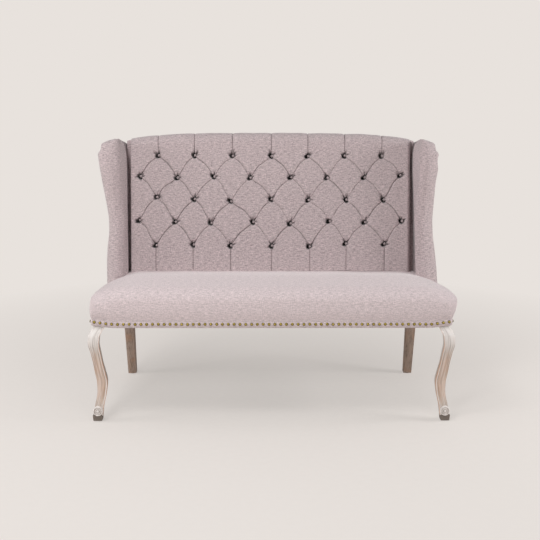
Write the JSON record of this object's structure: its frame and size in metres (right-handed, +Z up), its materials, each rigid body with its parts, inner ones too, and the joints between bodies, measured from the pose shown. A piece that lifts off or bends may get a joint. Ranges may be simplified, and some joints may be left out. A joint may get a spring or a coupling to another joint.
{
  "type": "high back settee",
  "caption": "High back settee with a deep buttoned reclined back, padded wings, nailed seat hem, carved cabriole front legs and raked square rear legs.",
  "frame": {"origin": "middle of the settee's footprint, on the floor under its feet", "axes": "+X to the right of someone facing the settee's front, along its width; -Y out of the front, so +Y goes into the back; +Z up"},
  "size_m": [1.334, 0.6746, 1.0218],
  "materials": {
    "leg_wood": "matte",
    "frame_wood": "matte",
    "seat_fabric": "matte",
    "back_fabric": "matte",
    "foam": "matte",
    "hessian": "matte",
    "webbing": "matte",
    "dust_cloth": "matte",
    "brass_nails": "satin",
    "bolt_steel": "satin",
    "glide_nylon": "matte"
  },
  "bodies": {
    "root": {"front_leg_left": "leg_wood", "front_leg_right": "leg_wood", "rear_post_left": "leg_wood", "rear_post_right": "leg_wood", "front_seat_rail": "frame_wood", "rear_seat_rail": "frame_wood", "side_seat_rail_left": "frame_wood", "side_seat_rail_right": "frame_wood", "centre_seat_rail": "frame_wood", "corner_block_front_left": "frame_wood", "corner_block_front_right": "frame_wood", "corner_block_rear_left": "frame_wood", "corner_block_rear_right": "frame_wood", "back_top_rail": "frame_wood", "back_bottom_rail": "frame_wood", "back_stile_left": "frame_wood", "back_stile_right": "frame_wood", "wing_frame_left": "frame_wood", "wing_frame_right": "frame_wood", "corner_bolt_front_left": "bolt_steel", "corner_bolt_front_right": "bolt_steel", "corner_bolt_rear_left": "bolt_steel", "corner_bolt_rear_right": "bolt_steel", "wing_bolt_lower_left": "bolt_steel", "wing_bolt_lower_right": "bolt_steel", "wing_bolt_upper_left": "bolt_steel", "wing_bolt_upper_right": "bolt_steel", "glide_front_left": "glide_nylon", "glide_front_right": "glide_nylon", "glide_rear_left": "glide_nylon", "glide_rear_right": "glide_nylon", "seat_webbing": "webbing", "dust_cover": "dust_cloth", "seat_foam": "foam", "seat_cover": "seat_fabric", "nail_trim_front": "brass_nails", "nail_trim_left": "brass_nails", "nail_trim_right": "brass_nails", "back_hessian": "hessian", "tufted_back_cushion": "back_fabric", "outside_back_panel": "back_fabric", "wing_upholstery_left": "back_fabric", "wing_upholstery_right": "back_fabric"}
  },
  "joints": []
}
